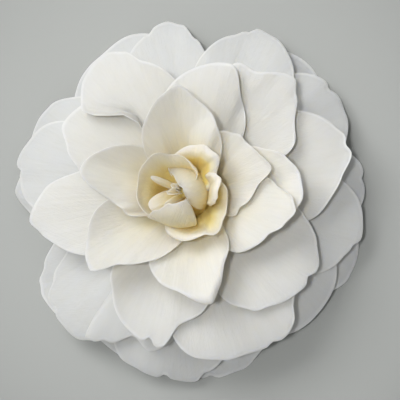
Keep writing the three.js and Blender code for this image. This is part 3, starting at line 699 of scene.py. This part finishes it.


# Petal skin: white turning to cream by its warmth and on to a golden colour, which in the deep
# parts is painted golden shade, with a painted highlight along its rim. Fine veins run out along the
# fan, from a noise that is drawn out along it; a broader noise crinkles the skin and clouds its
# colour. The white, darker or lighter from whorl to whorl as painted shade and light, the glow and
# where the painted rim highlight starts are set for each whorl. A petal's number, and what is added
# to it, only move a noise to another place.
def petalMaterial(name, form):
    f = petalFinish
    m = Shader(name)
    fan, out, _ = m.apart(m.node("ShaderNodeUVMap", {"uv_map": "onPetal"}))
    aroundFan = fan * 2.0
    number = m.attribute("petalNumber") * 7.3
    warmth = m.attribute("warmth")
    edgeward = m.attribute("edgeward")
    veins = m.noise(aroundFan * f["veinsRound"], out * f["veinsOut"], number, detail=4.0, roughness=0.62)
    fine = m.noise(aroundFan * f["fineRound"] * (out + 0.4), out * f["fineOut"], number + 3.0)
    clouds = m.noise(aroundFan * f["cloudsRound"], out * f["cloudsOut"], number + 11.0)
    tone = warmth + f["cloudsInTone"] * (clouds - 0.5) + f["veinsInTone"] * (veins - 0.5)
    # The whorl's white carries painted shade or light: darker outside, lighter at the heart.
    color = m.mixed(m.between(tone, 0.0, 0.5), form["white"], f["cream"])
    # Past the cream, the tone turns to painted golden shade.
    color = m.mixed(m.between(tone, 0.45, 1.0), color, f["paintedGoldenShade"])
    color = m.mixed(m.between(veins, 0.35, 0.62, 0.12, 0.0), color, f["vein"])
    # Painted highlight: each petal is mixed towards a lighter white near its rim.
    rim = m.between(edgeward, form["paintedRimHighlightFrom"], 0.995, 0.0, f["paintedRimHighlightShare"])
    color = m.mixed(rim, color, f["paintedRimHighlight"])
    height = veins * f["veinDepth"] + fine * f["fineDepth"] + clouds * f["crinkleDepth"]
    return m.finish({
        "Base Color": color, "Roughness": f["roughness"] + f["roughnessSpan"] * (clouds - 0.5),
        "Normal": m.bump(height), "Specular IOR Level": f["shine"],
        "Subsurface Weight": form["glow"], "Subsurface Radius": f["glowColor"],
        "Subsurface Scale": f["glowReach"], "Sheen Weight": f["sheen"], "Sheen Roughness": 0.4,
    }, form["lightThrough"], f["throughColor"])


calyxFinish = {
    "green": (0.20, 0.26, 0.09, 1),
    "brown": (0.24, 0.16, 0.08, 1),
    "straw": (0.46, 0.42, 0.22, 1),
    "wood": (0.50, 0.42, 0.26, 1),
    "brownFrom": 0.72,           # how far along a scale it starts to brown
    "hairsRound": 120.0,
    "hairsOut": 40.0,
    "patches": 260.0,            # steps of each noise, a metre
    "rings": 5200.0,
    "neckTop": (0.0026, 0.0032),    # metres, from where one colour starts to where it is whole
    "cutTop": (0.00005, 0.0003),
    "woodEnds": (0.0024, 0.0030),
    "hairDepth": 0.00012,
    "patchDepth": 0.00025,
    "roughness": 0.62,
    "sheen": 0.3,
}


# Scales of the calyx: silky green, browning towards their rims, with short hairs drawn out along
# them. The neck is woody; its cut face, below 0.3 mm, is paler, with rings by distance.
def calyxMaterial(name):
    f = calyxFinish
    m = Shader(name)
    x, y, z = m.apart(m.node("ShaderNodeTexCoord", output="Object"))
    fan, out, _ = m.apart(m.node("ShaderNodeUVMap", {"uv_map": "onPetal"}))
    number = m.attribute("petalNumber")
    depth = m.attribute("depth")
    hairs = m.noise(fan * f["hairsRound"], out * f["hairsOut"], number * 5.1)
    patches = m.noise(x * f["patches"], y * f["patches"], z * f["patches"], detail=4.0)
    color = m.mixed(m.between(hairs, 0.35, 0.7), f["green"], f["straw"])
    browned = m.between(depth + 0.5 * (patches - 0.5), f["brownFrom"], 1.0, 0.0, 0.85)
    color = m.mixed(browned, color, f["brown"])
    bark = m.mixed(m.between(patches, 0.4, 0.65), f["brown"], f["green"])
    color = m.mixed(m.between(z, *f["neckTop"]), bark, color)
    radius = (x * x + y * y) ** 0.5
    rings = m.noise(radius * f["rings"], 0.0, 0.0, detail=2.0)
    cut = m.mixed(m.between(rings, 0.3, 0.7), f["wood"], f["straw"])
    cut = m.mixed(m.between(radius, *f["woodEnds"]), cut, f["green"])
    color = m.mixed(m.between(z, *f["cutTop"]), cut, color)
    height = hairs * f["hairDepth"] + patches * f["patchDepth"]
    return m.finish({"Base Color": color, "Roughness": f["roughness"], "Normal": m.bump(height),
                     "Sheen Weight": f["sheen"]})


# What is made so far: the map of how high petals lie, and how many petals there are.
soFar = {"map": np.full((layers["roundCells"], layers["outCells"]), layers["bare"]), "petals": 0}


# One whorl of petals and its slice of the receptacle, as one piece in place of its CAD node.
def whorl(name, petals, node, material, form, warmth):
    parts = Parts()
    first = soFar["petals"]
    for k, middle in enumerate(unfold(petals, first, form["wall"], form["free"], soFar["map"])):
        addBlade(parts, petals[k], middle, form["thickness"], form["rim"], warmth, first + k)
    soFar["petals"] += len(petals)
    profile = sliceProfile(form["from"], form["to"], form["core"], form.get("knob"))
    addTurned(parts, profile, warmth=1.0)
    if node == "calyx":
        addTurned(parts, neckProfile(form["from"]), warmth=0.0)
    piece = parts.mesh(name)
    mergePoles(piece)
    piece.data.materials.append(material)
    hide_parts(node)
    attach(piece, "root")
    triangles = sum(len(face.vertices) - 2 for face in piece.data.polygons)
    print(name, "has", len(petals), "blades and", triangles, "triangles")


# Makes one point of those that lie on each other, as at the two poles of every turned part.
def mergePoles(piece):
    work = bmesh.new()
    work.from_mesh(piece.data)
    bmesh.ops.remove_doubles(work, verts=work.verts, dist=1e-7)
    work.to_mesh(piece.data)
    work.free()


# Of each whorl. from and to: the levels that its slice of the receptacle lies between; core: how
# far out along the bowl the slice goes. wall: from where its petals stay off what is below; free:
# from where they clear each other. thickness and rim: of its blades. The rest is its skin: its
# white, darker in the outer and middle whorls as painted shade and lighter in the inner whorl and
# the heart as painted light, how much it glows, where along a petal the painted highlight on the rim
# starts and how much light comes through. Lengths are in millimetres.
calyxForm = {
    "from": -0.56, "to": -0.14, "core": 6.5, "wall": 6.5, "free": 60, "thickness": 0.8, "rim": 0.35,
}
# The outer and middle whites are darker as painted shade, the inner and heart whites lighter as painted
# light; their warmer tint is their own.
outerForm = {
    "from": -0.05, "to": 0.238, "core": 9, "wall": 12.1, "free": 20, "thickness": 0.42, "rim": 0.16,
    "white": (0.69, 0.70, 0.695, 1), "glow": 0.35, "paintedRimHighlightFrom": 0.97, "lightThrough": 0.18,
}
middleForm = {
    "from": 0.262, "to": 0.53, "core": 8, "wall": 11, "free": 20, "thickness": 0.42, "rim": 0.16,
    "white": (0.71, 0.71, 0.695, 1), "glow": 0.5, "paintedRimHighlightFrom": 0.97, "lightThrough": 0.18,
}
innerForm = {
    "from": 0.56, "to": 0.735, "core": 7, "wall": 9, "free": 15, "thickness": 0.42, "rim": 0.16,
    "white": (0.88, 0.865, 0.81, 1), "glow": 0.7, "paintedRimHighlightFrom": 0.955, "lightThrough": 0.22,
}
heartForm = {
    "from": 0.765, "to": 0.97, "core": 5, "wall": 6.2, "free": 11, "thickness": 0.42, "rim": 0.16,
    "white": (0.99, 0.95, 0.83, 1), "glow": 0.8, "paintedRimHighlightFrom": 0.91, "lightThrough": 0.32,
    "knob": {"radius": 1.8, "top": 33.6},
}


# How warm a petal's cream is at s along it and rho millimetres from the point of its fan. Where it
# runs on past cream to a golden colour, near the bases of the middle and inner petals and in the
# heart, that is painted golden shade.
def outerWarmth(s, rho):
    return 0.4 * np.exp(-rho / 14)


def middleWarmth(s, rho):
    return 0.04 + 0.9 * np.exp(-rho / 12)


def innerWarmth(s, rho):
    return 0.07 + 0.22 * (1 - smooth(s, 0.35, 0.9)) + 0.85 * (1 - smooth(s, 0.05, 0.5))


def heartWarmth(s, rho):
    return 0.14 + 0.55 * (1 - smooth(s, 0.55, 0.97)) + 0.6 * (1 - smooth(s, 0.1, 0.6))


whorl("calyxScales", sepals, "calyx",
      calyxMaterial("silky calyx"), calyxForm, lambda s, rho: 0 * s)
whorl("outerPetals", outerPetals, "outer_petals",
      petalMaterial("white petals", outerForm), outerForm, outerWarmth)
whorl("middlePetals", middlePetals, "middle_petals",
      petalMaterial("milky petals", middleForm), middleForm, middleWarmth)
whorl("innerPetals", innerPetals, "inner_petals",
      petalMaterial("ivory petals", innerForm), innerForm, innerWarmth)
whorl("heartPiece", heartPetals, "heart",
      petalMaterial("cream petals", heartForm), heartForm, heartWarmth)


studio = {
    "floorSize": 3.2,            # metres, as are the places below
    "floorColor": (0.38, 0.39, 0.375, 1),
    "floorRoughness": 0.8,
    "camera": {"tilt": 8.0, "heading": -30.0, "distance": 0.560, "span": 0.124,
               "look": (0.0034, -0.0019, 0.022)},
    "window": {"place": (-0.40, 0.44, 0.80), "size": 0.6, "power": 6.8},
    "spot": {"place": (-0.06, -0.02, 0.94), "aim": (-0.004, 0.002, 0.03), "degrees": 7.0,
             "size": 0.10, "power": 84.0},
    "skyColor": (0.97, 0.985, 1, 1),
    "skyStrength": 0.31,
}


# A pale square floor under the bloom.
def makeFloor():
    side = studio["floorSize"] / 2
    made = bpy.data.meshes.new("floor")
    corners = [(-side, -side, 0), (side, -side, 0), (side, side, 0), (-side, side, 0)]
    made.from_pydata(corners, [], [(0, 1, 2, 3)])
    floor = bpy.data.objects.new("floor", made)
    bpy.context.scene.collection.objects.link(floor)
    m = Shader("pale floor")
    plain = {"Base Color": studio["floorColor"], "Roughness": studio["floorRoughness"]}
    made.materials.append(m.finish(plain))


# The camera looks down on the bloom, tilted a little towards the heading. It is the given distance
# off, where its picture is as wide as the span.
def makeCamera(tilt, heading, distance, span, look):
    data = bpy.data.cameras.new("camera")
    data.sensor_width = 36   # millimetres
    data.lens = data.sensor_width * distance / span
    camera = bpy.data.objects.new("camera", data)
    bpy.context.scene.collection.objects.link(camera)
    tilt, heading = math.radians(tilt), math.radians(heading)
    back = Vector((math.sin(tilt) * math.cos(heading), math.sin(tilt) * math.sin(heading), math.cos(tilt)))
    right = Vector((0, 1, 0)).cross(back).normalized()
    turned = Matrix((right, back.cross(right), back)).transposed().to_4x4()
    camera.matrix_world = Matrix.Translation(Vector(look) + back * distance) @ turned
    bpy.context.scene.camera = camera


# Puts a light at its place, shining at its aim.
def putLight(name, data, place, aim):
    light = bpy.data.objects.new(name, data)
    bpy.context.scene.collection.objects.link(light)
    turned = (Vector(place) - Vector(aim)).to_track_quat("Z", "Y").to_matrix().to_4x4()
    light.matrix_world = Matrix.Translation(place) @ turned


# A square soft light that shines at the middle of the floor.
def makeWindow(place, size, power):
    data = bpy.data.lights.new("window", "AREA")
    data.energy = power
    data.size = size
    putLight("window", data, place, (0, 0, 0))


# A round soft light on the middle of the bloom, fading out over the whole of its cone.
def makeSpot(place, aim, degrees, size, power):
    data = bpy.data.lights.new("spot on the heart", "SPOT")
    data.energy = power
    data.spot_size = math.radians(degrees)
    data.spot_blend = 1
    data.shadow_soft_size = size
    putLight("spot on the heart", data, place, aim)


# An even soft light from all sides.
def makeSky():
    world = bpy.data.worlds.new("studio")
    bpy.context.scene.world = world
    world.use_nodes = True
    sky = world.node_tree.nodes["Background"].inputs
    sky["Color"].default_value = studio["skyColor"]
    sky["Strength"].default_value = studio["skyStrength"]


makeFloor()
makeCamera(**studio["camera"])
makeWindow(**studio["window"])
makeSpot(**studio["spot"])
makeSky()
bpy.context.scene.view_settings.view_transform = "Standard"
print("floor, camera and light are set")
